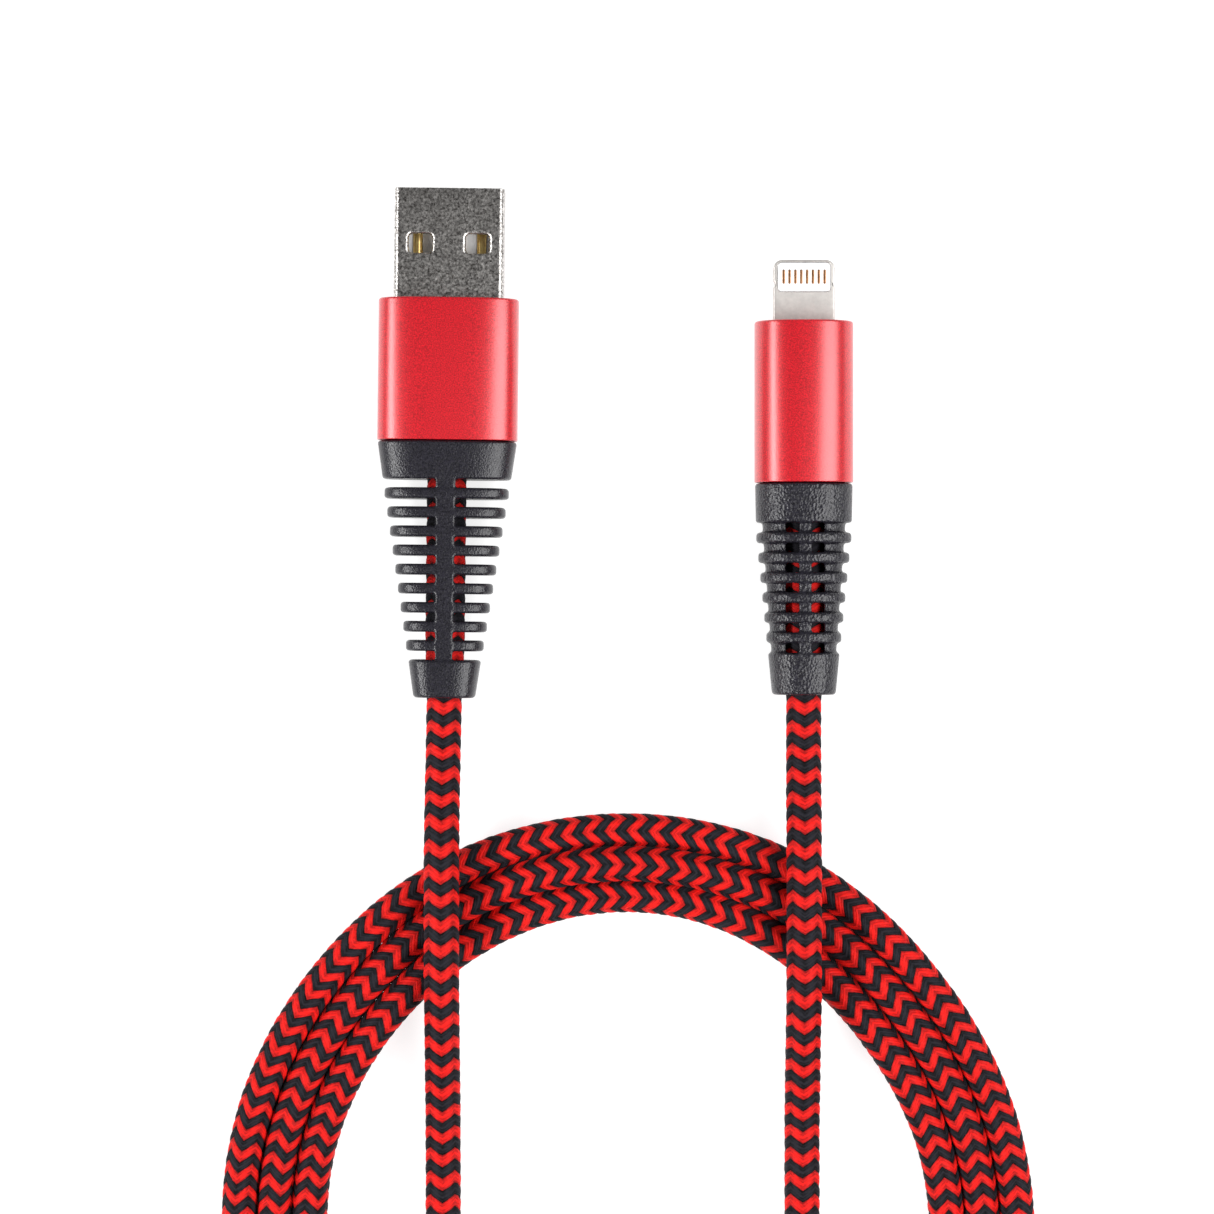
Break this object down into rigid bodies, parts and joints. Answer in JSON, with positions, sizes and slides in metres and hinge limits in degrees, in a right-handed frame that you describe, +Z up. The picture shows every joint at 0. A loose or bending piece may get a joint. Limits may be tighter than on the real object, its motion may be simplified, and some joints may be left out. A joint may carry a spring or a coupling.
{
  "type": "charging cable",
  "caption": "Braided charging cable, coiled flat, with a USB-A plug at one end and a thin reversible phone plug at the other, each with a ribbed strain relief.",
  "frame": {"origin": "on the surface that the cable lies on, under the middle of the two plugs' common outline", "axes": "+Y from the cord towards the plugs' tips, +X from the USB-A plug towards the phone plug, +Z up from the surface"},
  "size_m": [0.09, 0.1578, 0.0086],
  "materials": {
    "nickel_plated_steel": "fine-grained nickel plate, half gloss",
    "satin_steel": "bead-blasted satin",
    "gold_contact": "gold flash, polished",
    "copper_contact": "rose-gold flash, polished",
    "red_anodised_aluminium": "sandblasted, red anodised, satin",
    "black_rubber": "finely textured moulded elastomer",
    "white_plastic": "moulded",
    "circuit_board": "solder-masked glass-fibre board",
    "black_epoxy": "moulded chip package",
    "wire_red": "insulated wire",
    "wire_white": "insulated wire",
    "wire_green": "insulated wire",
    "wire_black": "insulated wire",
    "red_braid": "braided nylon sleeve, red yarns",
    "black_braid": "braided nylon sleeve, black yarns"
  },
  "bodies": {
    "root": {"usb_metal_shell": "nickel_plated_steel", "usb_insulator": "white_plastic", "usb_inner_mould": "white_plastic", "usb_housing": "red_anodised_aluminium", "usb_strain_relief": "black_rubber", "usb_contact_1_power": "gold_contact", "usb_contact_2_data_minus": "gold_contact", "usb_contact_3_data_plus": "gold_contact", "usb_contact_4_ground": "gold_contact", "phone_housing": "red_anodised_aluminium", "phone_strain_relief": "black_rubber", "phone_tab_frame": "satin_steel", "phone_tab_insulator": "white_plastic", "phone_inner_mould": "white_plastic", "phone_circuit_board": "circuit_board", "phone_controller_chip": "black_epoxy", "usb_lead": "red_braid", "phone_lead": "red_braid", "cord_coil": "red_braid", "usb_wire_red": "wire_red", "usb_wire_white": "wire_white", "usb_wire_green": "wire_green", "usb_wire_black": "wire_black", "phone_wire_red": "wire_red", "phone_wire_white": "wire_white", "phone_wire_green": "wire_green", "phone_wire_black": "wire_black", "phone_contact_top_1": "copper_contact", "phone_contact_bottom_1": "copper_contact", "phone_contact_top_2": "copper_contact", "phone_contact_bottom_2": "copper_contact", "phone_contact_top_3": "copper_contact", "phone_contact_bottom_3": "copper_contact", "phone_contact_top_4": "copper_contact", "phone_contact_bottom_4": "copper_contact", "phone_contact_top_5": "copper_contact", "phone_contact_bottom_5": "copper_contact", "phone_contact_top_6": "copper_contact", "phone_contact_bottom_6": "copper_contact", "phone_contact_top_7": "copper_contact", "phone_contact_bottom_7": "copper_contact", "phone_contact_top_8": "copper_contact", "phone_contact_bottom_8": "copper_contact"}
  },
  "joints": []
}
